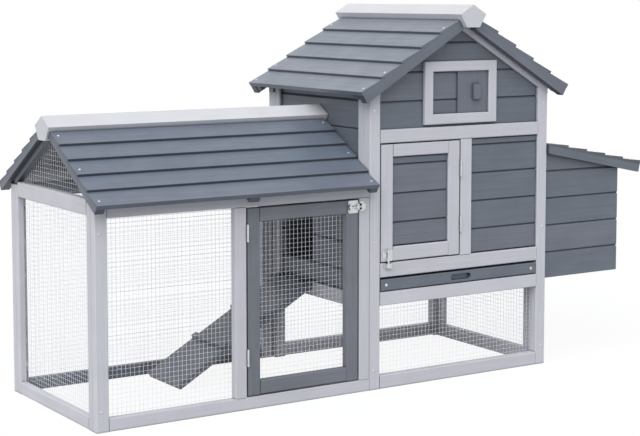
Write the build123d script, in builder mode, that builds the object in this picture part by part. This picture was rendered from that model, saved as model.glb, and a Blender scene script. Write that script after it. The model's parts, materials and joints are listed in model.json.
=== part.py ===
from build123d import *
import math
import os

os.makedirs("parts", exist_ok=True)

# Overall layout in millimetres: front at -Y, wire run on the left, raised house and nest box on the right
depth = 430.0
run_length = 665.0
house_length = 509.0

# Timber and fits
ease = 1.5
hairline = 0.2
swing_gap = 2.0
door_gap = 3.0
slide_gap = 1.0
board_pitch = 65.0
board_bevel = 3.0
board_least = 6.0

# Run frame
run_height = 465.0
run_panel = 18.0
run_stile = 28.0
run_mid_stile = 28.0
run_mid_place = 322.0
run_rear_right_stile = 34.0
run_bottom_rail = 27.0
run_top_rail = 30.5
end_panel = 15.0
end_stile = 20.0
end_rail_bottom = 439.0
end_rail_top = 472.0

# Run door
run_door_member = 30.0
run_door_thick = 18.0

# Welded wire nets
net_pitch = 45.0
net_bar = 2.4
net_thick = 1.6
net_lap = 8.0

# Lapped roofs
roof_boards = 5
board_thin = 4.0
board_thick = 10.0
board_lap = 6.0
batten_thick = 12.0
batten_wide = 20.0
ridge_half = 36.0
ridge_side = 34.5
run_pitch = 31.5
run_ridge_stand = 5.0
run_eave_out = 40.0
run_roof_left_out = 12.0
run_ridge_left_out = 17.0
run_mid_batten_place = 340.0
run_mid_batten_wide = 25.0
run_rafter_thick = 12.0
house_pitch = 31.0
house_ridge_stand = 9.0
house_eave_out = 41.5
house_roof_out = 26.0
house_ridge_out = 40.0
house_barge_thick = 20.0

# House frame
post = 28.0
post_height = 647.0
house_rail = 20.0
house_bottom_rail = 30.0
tray_rail_bottom = 188.5
tray_rail_top = 219.0
tray_slot_top = 252.0
door_rail_top = 284.0
top_rail_bottom = 552.0
top_rail_top = 582.0
mid_stile_place = 252.5
mid_stile_wide = 32.0
side_rail_bottom = 178.0
side_rail_top = 210.0
side_stile = 19.0
gable_rail = 18.0
wall_recess = 8.0
wall_board = 10.0

# Pop hole in the wall between run and house, some boards high, and the header over the nest opening
pop_place = 245.0
pop_wide = 125.0
pop_sill = 256.0
pop_rows = 3
nest_header_bottom = 520.0
nest_header_top = 552.0

# House door
house_door_stile = 32.0
house_door_top = 28.0
house_door_bottom = 32.0
house_door_thick = 18.0
door_panel_recess = 6.0
door_panel_thick = 8.0
door_board_datum = 307.0
panel_board_datum = 275.0
gable_board_drop = 5.0

# Window in the front gable with its sliding shutter
window_left = 149.0
window_right = 354.0
window_bottom = 588.0
window_top = 730.0
window_member = 23.0
window_proud = 10.0
shutter_thick = 4.0
shutter_lap = 8.0
shutter_left = 245.0
vent_inset = 6.0
vent_rows = 2
knob_wide = 20.0
knob_high = 36.0
knob_deep = 9.0
knob_place = 296.0

# Pull-out tray, its runners and the perch
tray_sheet = 1.6
tray_front_thick = 14.0
tray_rear_gap = 24.0
tray_lip = 2.0
tray_top_gap = 5.0
tray_slot_wide = 58.0
tray_slot_high = 14.0
tray_slot_deep = 9.0
runner_wide = 18.0
runner_high = 30.0
perch_size = 25.0
perch_height = 330.0
perch_round = 6.0
cradle_wide = 41.0
cradle_deep = 22.0
cradle_wall = 8.0

# Nest box
nest_reach = 235.0
nest_bottom = 205.0
nest_board_trim = 4.0
nest_inset = 8.0
nest_wall = 12.0
nest_floor_thick = 9.0
nest_divider_thick = 10.0
nest_divider_high = 170.0
nest_divider_cut = 56.0
lid_reach = 297.0
lid_top = 534.0
lid_pitch = 11.7
lid_batten_thick = 19.0
lid_batten_wide = 15.0
lid_boards = 5
lid_wall_gap = 2.0

# Ramp
ramp_pitch = 29.5
ramp_aside = 17.0
ramp_wide = 150.0
ramp_thick = 13.0
ramp_top = 212.0
cleat_wide = 16.0
cleat_high = 8.0
cleats = 3
cleat_first = 24.0
cleat_step = 120.0

# Butt hinges and barrel bolts
hinge_length = 37.0
hinge_knuckle = 2.5
hinge_pin = 1.25
hinge_sides = 12
hinge_leaf = 0.8
hinge_leaf_deep = 15.0
pin_clear = 0.05
metal_clear = 0.3
bolt_plate_length = 26.0
bolt_plate_wide = 28.0
bolt_plate_thick = 1.2
bolt_rod = 2.5
bolt_knob = 2.0
bolt_knob_long = 7.5
bolt_travel = 11.0
bolt_strap = 4.0
keeper_length = 10.0
keeper_wide = 22.0
keeper_round = 2.0
run_hinge_heights = (94.0, 361.0)
house_hinge_heights = (339.0, 466.0)
lid_hinge_inset = 70.0
ramp_hinge_inset = 16.0

# Places that follow from the sizes above
overall_length = run_ridge_left_out + run_length + house_length + lid_reach
run_left = -overall_length / 2 + run_ridge_left_out
run_right = run_left + run_length
house_left = run_right
house_right = house_left + house_length
house_middle = (house_left + house_right) / 2
house_half = house_length / 2
front = -depth / 2
rear = depth / 2
run_top_rail_bottom = run_height - run_top_rail
mid_stile_left = run_left + run_mid_place
mid_stile_right = mid_stile_left + run_mid_stile
run_door_left = mid_stile_right + door_gap
run_door_right = run_right - run_stile - door_gap
run_door_bottom = run_bottom_rail + door_gap
run_door_top = run_top_rail_bottom - door_gap
house_mid_left = house_left + mid_stile_place
house_mid_right = house_mid_left + mid_stile_wide
house_door_left = house_left + post + door_gap
house_door_right = house_mid_left - door_gap
house_door_low = door_rail_top + door_gap
house_door_high = top_rail_bottom - door_gap
wall_face = front + wall_recess
rear_wall_face = rear - wall_recess
inner_left = house_left + post
inner_right = house_right - post
gable_slope = math.tan(math.radians(house_pitch))


def save(piece, name):
    """Labels a finished piece and writes its STEP file."""
    piece.part.label = name
    export_step(piece.part, f"parts/{name}.step")


def stick(along, x, y, z, bevel=ease):
    """Adds a stick that fills the ranges x, y and z, with the edges along its length bevelled."""
    if along == "x":
        plane, across, up, length = Plane.YZ.offset(x[0]), y, z, x
    elif along == "y":
        plane, across, up, length = Plane.XZ.offset(-y[1]), x, z, y
    else:
        plane, across, up, length = Plane.XY.offset(z[0]), x, y, z
    with BuildSketch(plane) as section:
        with Locations((sum(across) / 2, sum(up) / 2)):
            Rectangle(across[1] - across[0], up[1] - up[0])
        chamfer(section.vertices(), bevel)
    extrude(section.sketch, amount=length[1] - length[0], dir=plane.z_dir)


def board_rows(low, high, joint):
    """Bottom and top of each wall board between low and high, with a joint at the height joint."""
    first = joint - board_pitch * math.ceil((joint - low) / board_pitch)
    rows = []
    while first < high:
        bottom = max(first, low)
        top = min(first + board_pitch, high)
        if top - bottom > board_least:
            rows.append((bottom + hairline / 2, top - hairline / 2))
        first += board_pitch
    return rows


def net(plane, width, height):
    """Adds a welded net, centred on the plane, as a holed sheet."""
    columns = round((width - net_bar) / net_pitch)
    rows = round((height - net_bar) / net_pitch)
    column_pitch = (width - net_bar) / columns
    row_pitch = (height - net_bar) / rows
    with BuildSketch(plane) as sheet:
        Rectangle(width, height)
        with GridLocations(column_pitch, row_pitch, columns, rows):
            Rectangle(column_pitch - net_bar, row_pitch - net_bar, mode=Mode.SUBTRACT)
    extrude(sheet.sketch, amount=net_thick, dir=plane.z_dir)


def facing_net(x, z, y):
    """Adds a net in the plane of the front, over the ranges x and z, its front at y."""
    middle = (sum(x) / 2, y, sum(z) / 2)
    net(Plane(middle, x_dir=(1, 0, 0), z_dir=(0, 1, 0)), x[1] - x[0], z[1] - z[0])


def side_net(y, z, x):
    """Adds a net in the plane of the ends, over the ranges y and z, its left side at x."""
    middle = (x, sum(y) / 2, sum(z) / 2)
    net(Plane(middle, x_dir=(0, 1, 0), z_dir=(1, 0, 0)), y[1] - y[0], z[1] - z[0])


def on_slope(slope, down, rise):
    """Point of a slope, from the distance down it and the rise square to it."""
    middle, reach, top, pitch, side = slope
    cosine, sine = math.cos(math.radians(pitch)), math.sin(math.radians(pitch))
    return (middle + side * (reach + down * cosine + rise * sine), top - down * sine + rise * cosine)


def lapped_profiles(slope, length, count, base):
    """Outlines of the lapped boards on a slope, each thicker at its lower edge and rebated over the next."""
    exposure = length / count
    rebate = board_thin + (board_thick - board_thin) * board_lap / (exposure + board_lap) + hairline
    outlines = []
    for number in range(count):
        upper = max(number * exposure - board_lap, 0) + hairline
        tip = (number + 1) * exposure
        points = [(tip, base + board_thick), (upper, base + board_thin), (upper, base)]
        if number == count - 1:
            points += [(tip, base)]
        else:
            points += [(tip - board_lap, base), (tip - board_lap, base + rebate), (tip, base + rebate)]
        outlines.append([on_slope(slope, down, rise) for down, rise in points])
    return outlines


def batten_outline(slope, length, base, thick):
    """Outline of a batten that lies under the boards of a slope."""
    upper = hairline
    lower = length - slide_gap
    points = [(upper, base - thick), (lower, base - thick), (lower, base), (upper, base)]
    return [on_slope(slope, down, rise) for down, rise in points]


def slope_length(reach_out, reach, pitch, tip):
    """Length down a slope from the ridge's side to boards whose tips stand reach_out from the middle."""
    return (reach_out - reach - tip * math.sin(math.radians(pitch))) / math.cos(math.radians(pitch))


def ridge_outline(middle, corner, pitch):
    """Outline of a ridge beam: roof-shaped top, sides square to the slopes and a flat underside."""
    sine, cosine = math.sin(math.radians(pitch)), math.cos(math.radians(pitch))
    peak = corner + ridge_half * sine / cosine
    foot = ridge_half - ridge_side * sine
    low = corner - ridge_side * cosine
    right = [(middle + ridge_half, corner), (middle + foot, low)]
    left = [(middle - foot, low), (middle - ridge_half, corner)]
    return [(middle, peak)] + right + left


def hinge_leaf_piece(plane, own, direction, beside):
    """Adds one leaf of a butt hinge on the plane across its pin: the leaf, its own knuckles and the pin's bore.

    Knuckles, bores and pins have few sides, because eight such hinges repeat on the coop.
    """
    third = hinge_length / 3
    start = hinge_knuckle + metal_clear
    with BuildSketch(plane) as leaf:
        with Locations(Rot(0, 0, direction) * Pos(start, beside)):
            Rectangle(hinge_leaf_deep - start, hinge_leaf, align=(Align.MIN, Align.CENTER))
    extrude(leaf.sketch, amount=hinge_length, dir=plane.z_dir)
    for number in own:
        low = number * third + (metal_clear / 2 if number else 0)
        high = (number + 1) * third - (metal_clear / 2 if number < 2 else 0)
        with BuildSketch(plane.offset(low)) as knuckle:
            RegularPolygon(hinge_knuckle, hinge_sides)
            with Locations(Rot(0, 0, direction) * Pos(0, beside)):
                Rectangle(start + hinge_leaf, hinge_leaf, align=(Align.MIN, Align.CENTER))
        extrude(knuckle.sketch, amount=high - low, dir=plane.z_dir)
    with BuildSketch(plane) as bore:
        RegularPolygon(hinge_pin + pin_clear, hinge_sides, major_radius=False)
    extrude(bore.sketch, amount=hinge_length, dir=plane.z_dir, mode=Mode.SUBTRACT)


# Run front panel
rail_span = (run_left + run_stile + hairline, run_right - hairline)
with BuildPart() as run_front_frame:
    stick("z", (run_left, run_left + run_stile), (front, front + run_panel), (0, run_height))
    for stile_x in ((mid_stile_left, mid_stile_right), (run_right - run_stile, run_right - hairline)):
        stick("z", stile_x, (front, front + run_panel),
              (run_bottom_rail + hairline, run_top_rail_bottom - hairline))
    stick("x", rail_span, (front, front + run_panel), (0, run_bottom_rail))
    stick("x", rail_span, (front, front + run_panel), (run_top_rail_bottom, run_height))
save(run_front_frame, "run_front_frame")

fixed_net_x = (run_left + run_stile - net_lap, mid_stile_left + net_lap)
panel_net_z = (run_bottom_rail - net_lap, run_top_rail_bottom + net_lap)
with BuildPart() as run_front_net:
    facing_net(fixed_net_x, panel_net_z, front + run_panel)
save(run_front_net, "run_front_net")

# Run end panel with its gable
end_front = (front + run_panel + hairline, front + run_panel + end_stile)
end_rear = (rear - run_panel - end_stile, rear - run_panel - hairline)
end_span = (end_front[1] + hairline, end_rear[0] - hairline)
end_x = (run_left, run_left + end_panel)
with BuildPart() as run_end_frame:
    stick("z", end_x, end_front, (0, run_height))
    stick("z", end_x, end_rear, (0, run_height))
    stick("y", end_x, end_span, (0, run_bottom_rail))
    stick("y", end_x, end_span, (end_rail_bottom, end_rail_top))
save(run_end_frame, "run_end_frame")

end_net_y = (end_front[1] - net_lap, end_rear[0] + net_lap)
with BuildPart() as run_end_net:
    side_net(end_net_y, (run_bottom_rail - net_lap, end_rail_bottom + net_lap), end_x[1])
save(run_end_net, "run_end_net")

# Run rear panel
rear_span = (run_left + run_stile + hairline, run_right - run_rear_right_stile - hairline)
with BuildPart() as run_rear_frame:
    stick("z", (run_left, run_left + run_stile), (rear - run_panel, rear), (0, run_height))
    stick("z", (run_right - run_rear_right_stile, run_right - hairline), (rear - run_panel, rear),
          (0, run_height))
    stick("x", rear_span, (rear - run_panel, rear), (0, run_bottom_rail))
    stick("x", rear_span, (rear - run_panel, rear), (run_top_rail_bottom, run_height))
save(run_rear_frame, "run_rear_frame")

with BuildPart() as run_rear_net:
    facing_net((rear_span[0] - net_lap, rear_span[1] + net_lap), panel_net_z, rear - run_panel - net_thick)
save(run_rear_net, "run_rear_net")

# Run roof: the battens rest on the front and rear rails
run_cosine = math.cos(math.radians(run_pitch))
run_tangent = math.tan(math.radians(run_pitch))
run_base = -(run_ridge_stand + board_thick)
run_eave_top = run_height + hairline + (batten_thick - run_base) / run_cosine
run_corner = run_eave_top + (depth / 2 - ridge_half) * run_tangent
run_slope_length = slope_length(depth / 2 + run_eave_out, ridge_half, run_pitch, -run_ridge_stand)
run_roof_left = run_left - run_roof_left_out
run_roof_right = run_right - slide_gap
run_slopes = {"front": (0, ridge_half, run_corner, run_pitch, -1),
              "rear": (0, ridge_half, run_corner, run_pitch, 1)}

for side, slope in run_slopes.items():
    with BuildPart() as run_roof_boards:
        with BuildSketch(Plane.YZ.offset(run_roof_left)):
            for outline in lapped_profiles(slope, run_slope_length, roof_boards, run_base):
                Polygon(*outline, align=None)
        extrude(amount=run_roof_right - run_roof_left)
    save(run_roof_boards, f"run_roof_{side}_boards")

run_batten_places = [
    (run_roof_left, batten_wide),
    (run_left + run_mid_batten_place, run_mid_batten_wide),
    (run_roof_right - batten_wide, batten_wide),
]
# Under the left battens, two rafters close the gable: they stand on the end rail between the panels
rafter_base = run_base - batten_thick - hairline
rafter_reach = rear - run_panel - hairline
with BuildPart() as run_roof_battens:
    for slope in run_slopes.values():
        for place, width in run_batten_places:
            with BuildSketch(Plane.YZ.offset(place)):
                Polygon(*batten_outline(slope, run_slope_length, run_base, batten_thick), align=None)
            extrude(amount=width)
        with BuildSketch(Plane.YZ.offset(end_x[0])):
            Polygon(*batten_outline(slope, run_slope_length, rafter_base, run_rafter_thick), align=None)
            with Locations((0, end_rail_top + hairline)):
                Rectangle(2 * rafter_reach, run_corner, align=(Align.CENTER, Align.MIN), mode=Mode.INTERSECT)
        extrude(amount=end_panel)
save(run_roof_battens, "run_roof_battens")

run_ridge_end = house_left + wall_recess - hairline
with BuildPart() as run_ridge_beam:
    with BuildSketch(Plane.YZ.offset(run_left - run_ridge_left_out)):
        Polygon(*ridge_outline(0, run_corner, run_pitch), align=None)
    extrude(amount=run_ridge_end - run_left + run_ridge_left_out)
save(run_ridge_beam, "run_ridge_beam")

# Net in the run's gable, between the end rail, the roof boards and the ridge beam
gable_net_side = rear - run_panel - slide_gap
gable_net_low = end_rail_bottom + net_lap + slide_gap
gable_net_high = run_corner - ridge_side * run_cosine - slide_gap


def under_run_boards(height):
    """Distance from the ridge line at which the roof boards' underside is at a height."""
    return ridge_half + (run_corner + run_base / run_cosine - height) / run_tangent


gable_net_drop = (gable_net_side - ridge_half) * run_tangent + slide_gap
gable_net_shoulder = run_corner + run_base / run_cosine - gable_net_drop
gable_net_peak = under_run_boards(gable_net_high) - net_bar
gable_outline = [(-gable_net_side, gable_net_low), (gable_net_side, gable_net_low),
                 (gable_net_side, gable_net_shoulder), (gable_net_peak, gable_net_high),
                 (-gable_net_peak, gable_net_high), (-gable_net_side, gable_net_shoulder)]
gable_columns = round(2 * gable_net_side / net_pitch)
gable_rows = math.ceil((gable_net_high - gable_net_low) / net_pitch)
with BuildPart() as run_gable_net:
    with BuildSketch(Plane.YZ.offset(end_x[1])):
        Polygon(*gable_outline, align=None)
    extrude(amount=net_thick)
    with BuildSketch(Plane.YZ.offset(end_x[1])):
        with Locations((0, gable_net_low + net_bar + gable_rows * net_pitch / 2)):
            with GridLocations(net_pitch, net_pitch, gable_columns, gable_rows):
                Rectangle(net_pitch - net_bar, net_pitch - net_bar)
        inside = Polygon(*gable_outline, align=None, mode=Mode.PRIVATE)
        offset(inside, amount=-net_bar, kind=Kind.INTERSECTION, mode=Mode.INTERSECT)
    extrude(amount=net_thick, mode=Mode.SUBTRACT)
save(run_gable_net, "run_gable_net")

# Run door
door_y = (front, front + run_door_thick)
run_door_inner_x = (run_door_left + run_door_member + hairline, run_door_right - run_door_member - hairline)
run_door_inner_z = (run_door_bottom + run_door_member, run_door_top - run_door_member)
with BuildPart() as run_door_frame:
    stick("z", (run_door_left, run_door_left + run_door_member), door_y, (run_door_bottom, run_door_top))
    stick("z", (run_door_right - run_door_member, run_door_right), door_y, (run_door_bottom, run_door_top))
    stick("x", run_door_inner_x, door_y, (run_door_bottom, run_door_inner_z[0]))
    stick("x", run_door_inner_x, door_y, (run_door_inner_z[1], run_door_top))
save(run_door_frame, "run_door_frame")

with BuildPart() as run_door_net:
    facing_net((run_door_inner_x[0] - net_lap, run_door_inner_x[1] + net_lap),
               (run_door_inner_z[0] - net_lap, run_door_inner_z[1] + net_lap), front + run_door_thick)
save(run_door_net, "run_door_net")

# House posts with tops cut to the roof's pitch
post_rise = post * gable_slope
post_peak = post_height + post_rise
left_post = [(house_left, 0), (inner_left, 0), (inner_left, post_peak), (house_left, post_height)]
right_post = [(house_right, 0), (house_right, post_height), (inner_right, post_peak), (inner_right, 0)]
with BuildPart() as house_posts:
    for low_y in (front, rear - post):
        with BuildSketch(Plane.XZ.offset(-low_y - post)):
            Polygon(*left_post, align=None)
            Polygon(*right_post, align=None)
        extrude(amount=post)
    chamfer(edges().filter_by(Axis.Z), ease)
save(house_posts, "house_posts")

# House rails between the posts
between_x = (inner_left + hairline, inner_right - hairline)
between_y = (front + post + hairline, rear - post - hairline)
front_rail_y = (front, front + house_rail)
rear_rail_y = (rear - house_rail, rear)
with BuildPart() as house_front_rails:
    for low, high in ((0, house_bottom_rail), (tray_rail_bottom, tray_rail_top),
                      (tray_slot_top, door_rail_top), (top_rail_bottom, top_rail_top)):
        stick("x", between_x, front_rail_y, (low, high))
save(house_front_rails, "house_front_rails")

with BuildPart() as house_mid_stile:
    stick("z", (house_mid_left, house_mid_right), front_rail_y,
          (door_rail_top + hairline, top_rail_bottom - hairline))
save(house_mid_stile, "house_mid_stile")

left_rail_x = (house_left, house_left + house_rail)
right_rail_x = (house_right - house_rail, house_right)
wall_top = post_peak + gable_rail
side_stile_y = (between_y[0], between_y[0] + side_stile)
with BuildPart() as house_side_rails:
    stick("y", left_rail_x, between_y, (side_rail_bottom, side_rail_top))
    stick("z", left_rail_x, side_stile_y, (side_rail_top + hairline, wall_top))
    for low, high in ((0, house_bottom_rail), (side_rail_bottom, side_rail_top),
                      (nest_header_bottom, nest_header_top)):
        stick("y", right_rail_x, between_y, (low, high))
save(house_side_rails, "house_side_rails")

with BuildPart() as house_rear_rails:
    for low, high in ((0, house_bottom_rail), (side_rail_bottom, side_rail_top)):
        stick("x", between_x, rear_rail_y, (low, high))
save(house_rear_rails, "house_rear_rails")

# House roof geometry: boards on battens, battens on the gable rails
house_cosine = math.cos(math.radians(house_pitch))
house_base = -(house_ridge_stand + board_thick)
house_corner = (post_height + hairline + (gable_rail + hairline + batten_thick - house_base) / house_cosine
                + (house_half - ridge_half) * gable_slope)
house_slope_length = slope_length(house_half + house_eave_out, ridge_half, house_pitch, -house_ridge_stand)
house_ridge_low = house_corner - ridge_side * house_cosine
rail_foot = post_height + hairline
rail_peak = rail_foot + house_half * gable_slope
rail_rise = gable_rail / house_cosine
rail_cut = house_ridge_low - hairline
rail_cut_reach = (rail_peak + rail_rise - rail_cut) / gable_slope


def gable_rail_outline(side):
    """Outline of one sloping gable rail, cut square under the ridge beam."""
    points = [(hairline, rail_peak - hairline * gable_slope), (hairline, rail_cut),
              (rail_cut_reach, rail_cut), (house_half, rail_foot + rail_rise), (house_half, rail_foot)]
    return [(house_middle + side * reach, height) for reach, height in points]


with BuildPart() as house_gable_rails:
    for low_y in (front, rear - gable_rail):
        for side in (-1, 1):
            with BuildSketch(Plane.XZ.offset(-low_y - gable_rail)):
                Polygon(*gable_rail_outline(side), align=None)
            extrude(amount=gable_rail)
save(house_gable_rails, "house_gable_rails")

# Board walls of the house
gable_side = house_half - post - hairline
gable_shoulder = post_peak
gable_peak = rail_peak - hairline
front_gable = [(house_middle - gable_side, 0), (house_middle + gable_side, 0),
               (house_middle + gable_side, gable_shoulder), (house_middle, gable_peak),
               (house_middle - gable_side, gable_shoulder)]
window_inner = (house_left + window_left + window_member, house_left + window_right - window_member)
window_inner_z = (window_bottom + window_member, window_top - window_member)
vent_x = (house_left + shutter_left + vent_inset, window_inner[1])
vent_z = (window_inner_z[0] + vent_inset, top_rail_top - gable_board_drop + vent_rows * board_pitch)


def gable_boards(rows, y, vent):
    """Adds the boards of a gable wall, cut to the roof and, in the front, to the vent."""
    for bottom, top in rows:
        with BuildSketch(Plane.XZ.offset(-y[1])) as row:
            Polygon(*front_gable, align=None)
            with Locations((house_middle, (bottom + top) / 2)):
                Rectangle(house_length, top - bottom, mode=Mode.INTERSECT)
            if vent:
                with Locations((sum(vent_x) / 2, sum(vent_z) / 2)):
                    Rectangle(vent_x[1] - vent_x[0], vent_z[1] - vent_z[0], mode=Mode.SUBTRACT)
        extrude(row.sketch, amount=y[1] - y[0], dir=(0, -1, 0))


def cut_grooves(x, y, rows):
    """Cuts a V groove along X at every joint between the board rows, in the face at y."""
    joints = [(y, bottom - hairline / 2) for bottom, top in rows[1:]]
    with BuildSketch(Plane.YZ.offset(x[0])) as grooves:
        with Locations(*joints):
            Rectangle(board_bevel * math.sqrt(2), board_bevel * math.sqrt(2), rotation=45)
    extrude(grooves.sketch, amount=x[1] - x[0], dir=(1, 0, 0), mode=Mode.SUBTRACT)


front_wall_y = (wall_face, wall_face + wall_board)
rear_wall_y = (rear_wall_face - wall_board, rear_wall_face)
front_gable_rows = board_rows(top_rail_top + hairline, gable_peak, top_rail_top - gable_board_drop)
rear_gable_rows = board_rows(side_rail_top + hairline, gable_peak, side_rail_top)
with BuildPart() as house_gable_boards:
    gable_boards(front_gable_rows, front_wall_y, True)
    cut_grooves(between_x, front_wall_y[0], front_gable_rows)
save(house_gable_boards, "house_gable_boards")

with BuildPart() as house_rear_boards:
    gable_boards(rear_gable_rows, rear_wall_y, False)
    cut_grooves(between_x, rear_wall_y[1], rear_gable_rows)
save(house_rear_boards, "house_rear_boards")

panel_x = (house_mid_right + hairline, inner_right - hairline)
panel_y = (front + door_panel_recess, front + door_panel_recess + wall_board)
with BuildPart() as house_front_panel:
    for row in board_rows(door_rail_top + hairline, top_rail_bottom - hairline, panel_board_datum):
        stick("x", panel_x, panel_y, row, board_bevel)
save(house_front_panel, "house_front_panel")

left_wall_x = (house_left + wall_recess, house_left + wall_recess + wall_board)
right_wall_x = (house_right - wall_recess - wall_board, house_right - wall_recess)
left_wall_y = (side_stile_y[1] + hairline, between_y[1])
pop_y = (front + pop_place, front + pop_place + pop_wide)
pop_top = pop_sill + pop_rows * board_pitch
with BuildPart() as house_left_boards:
    for row in board_rows(side_rail_top + hairline, wall_top, pop_sill):
        spans = [left_wall_y]
        if pop_sill < sum(row) / 2 < pop_top:
            spans = [(left_wall_y[0], pop_y[0]), (pop_y[1], left_wall_y[1])]
        for span in spans:
            stick("y", left_wall_x, span, row, board_bevel)
save(house_left_boards, "house_left_boards")

with BuildPart() as house_right_boards:
    for row in board_rows(nest_header_top + hairline, wall_top, side_rail_top):
        stick("y", right_wall_x, between_y, row, board_bevel)
save(house_right_boards, "house_right_boards")

# Nets under the house on three sides
skirt_z = (house_bottom_rail - net_lap, side_rail_bottom + net_lap)
with BuildPart() as house_skirt_nets:
    facing_net(between_x, (skirt_z[0], tray_rail_bottom + net_lap), front + house_rail)
    side_net(between_y, skirt_z, house_right - house_rail - net_thick)
    facing_net(between_x, skirt_z, rear - house_rail - net_thick)
save(house_skirt_nets, "house_skirt_nets")

# House roof and ridge beam
house_roof_y = (front - house_roof_out, rear + house_roof_out)
house_slopes = {"left": (house_middle, ridge_half, house_corner, house_pitch, -1),
                "right": (house_middle, ridge_half, house_corner, house_pitch, 1)}
for side, slope in house_slopes.items():
    with BuildPart() as house_roof_boards:
        with BuildSketch(Plane.XZ.offset(-house_roof_y[1])):
            for outline in lapped_profiles(slope, house_slope_length, roof_boards, house_base):
                Polygon(*outline, align=None)
        extrude(amount=house_roof_y[1] - house_roof_y[0])
    save(house_roof_boards, f"house_roof_{side}_boards")

# Back, width and thickness of each batten: barge battens at the ends, thinner ones on the gable rails
house_battens = [
    (house_roof_y[0] + batten_wide, batten_wide, house_barge_thick),
    (front + gable_rail, gable_rail, batten_thick),
    (rear, gable_rail, batten_thick),
    (house_roof_y[1], batten_wide, house_barge_thick),
]
with BuildPart() as house_roof_battens:
    for slope in house_slopes.values():
        for back, width, thick in house_battens:
            with BuildSketch(Plane.XZ.offset(-back)):
                Polygon(*batten_outline(slope, house_slope_length, house_base, thick), align=None)
            extrude(amount=width)
save(house_roof_battens, "house_roof_battens")

with BuildPart() as house_ridge_beam:
    with BuildSketch(Plane.XZ.offset(-rear - house_ridge_out)):
        Polygon(*ridge_outline(house_middle, house_corner, house_pitch), align=None)
    extrude(amount=depth + 2 * house_ridge_out)
save(house_ridge_beam, "house_ridge_beam")

# House door
house_door_y = (front, front + house_door_thick)
house_door_inner = (house_door_left + house_door_stile + hairline,
                    house_door_right - house_door_stile - hairline)
house_door_inner_z = (house_door_low + house_door_bottom, house_door_high - house_door_top)
door_panel_y = (front + door_panel_recess, front + door_panel_recess + door_panel_thick)
with BuildPart() as house_door_frame:
    for left in (house_door_left, house_door_right - house_door_stile):
        stick("z", (left, left + house_door_stile), house_door_y, (house_door_low, house_door_high))
    stick("x", house_door_inner, house_door_y, (house_door_low, house_door_inner_z[0]))
    stick("x", house_door_inner, house_door_y, (house_door_inner_z[1], house_door_high))
save(house_door_frame, "house_door_frame")

with BuildPart() as house_door_boards:
    panel_low = house_door_inner_z[0] + hairline
    panel_high = house_door_inner_z[1] - hairline
    for row in board_rows(panel_low, panel_high, door_board_datum):
        stick("x", house_door_inner, door_panel_y, row, board_bevel)
save(house_door_boards, "house_door_boards")

# Window frame, rebated behind for the shutter, with the shutter and the vent's net
window_x = (house_left + window_left, house_left + window_right)
window_size = (window_x[1] - window_x[0], window_top - window_bottom)
window_inner_size = (window_inner[1] - window_inner[0], window_inner_z[1] - window_inner_z[0])
window_centre = (sum(window_x) / 2, (window_bottom + window_top) / 2)
rebate_deep = shutter_thick + 2 * metal_clear
with BuildPart() as window_frame:
    with BuildSketch(Plane.XZ.offset(-wall_face)):
        with Locations(window_centre):
            Rectangle(*window_size)
            Rectangle(*window_inner_size, mode=Mode.SUBTRACT)
    extrude(amount=window_proud)
    chamfer(faces().sort_by(Axis.Y)[0].edges(), ease)
    with BuildSketch(Plane.XZ.offset(-wall_face)):
        with Locations(window_centre):
            Rectangle(window_inner_size[0] + 2 * shutter_lap, window_inner_size[1] + 2 * shutter_lap)
    extrude(amount=rebate_deep, mode=Mode.SUBTRACT)
save(window_frame, "window_frame")

shutter_x = (house_left + shutter_left, window_inner[1] + shutter_lap - metal_clear)
shutter_z = (window_inner_z[0] - shutter_lap + metal_clear, window_inner_z[1] + shutter_lap - metal_clear)
shutter_back = wall_face - metal_clear
with BuildPart() as window_shutter:
    with BuildSketch(Plane.XZ.offset(-shutter_back)):
        with Locations((sum(shutter_x) / 2, sum(shutter_z) / 2)):
            Rectangle(shutter_x[1] - shutter_x[0], shutter_z[1] - shutter_z[0])
    extrude(amount=shutter_thick)
save(window_shutter, "window_shutter")

with BuildPart() as shutter_knob:
    with BuildSketch(Plane.XZ.offset(-shutter_back + shutter_thick)):
        with Locations((house_left + knob_place, sum(window_inner_z) / 2)):
            Rectangle(knob_wide, knob_high)
    extrude(amount=knob_deep)
    chamfer(faces().sort_by(Axis.Y)[0].edges(), ease)
save(shutter_knob, "shutter_knob")

with BuildPart() as window_net:
    facing_net((vent_x[0] - net_lap, vent_x[1] + net_lap), (vent_z[0] - net_lap, vent_z[1] + net_lap),
               front_wall_y[1])
save(window_net, "window_net")

# Pull-out tray on its runners, which is the floor of the house
tray_x = (inner_left + swing_gap, inner_right - swing_gap)
tray_z = (tray_rail_top + swing_gap, tray_slot_top - tray_top_gap)
pan_y = (front + tray_front_thick, rear - tray_rear_gap)
pan_top = tray_z[1] - tray_lip
with BuildPart() as tray_pan:
    with BuildSketch(Plane.XY.offset(tray_z[0])):
        with Locations((sum(tray_x) / 2, sum(pan_y) / 2)):
            Rectangle(tray_x[1] - tray_x[0], pan_y[1] - pan_y[0])
    extrude(amount=pan_top - tray_z[0])
    offset(amount=-tray_sheet, openings=faces().sort_by(Axis.Z)[-1])
save(tray_pan, "tray_pan")

with BuildPart() as tray_front:
    with BuildSketch(Plane.XZ.offset(-front - tray_front_thick + hairline)):
        with Locations((house_middle, sum(tray_z) / 2)):
            Rectangle(tray_x[1] - tray_x[0], tray_z[1] - tray_z[0])
    extrude(amount=tray_front_thick - hairline)
    chamfer(faces().sort_by(Axis.Y)[0].edges().filter_by(Axis.X), ease)
    with BuildSketch(Plane.XZ.offset(-front)):
        with Locations((house_middle, sum(tray_z) / 2)):
            SlotOverall(tray_slot_wide, tray_slot_high)
    extrude(amount=-tray_slot_deep, mode=Mode.SUBTRACT)
save(tray_front, "tray_front")

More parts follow.
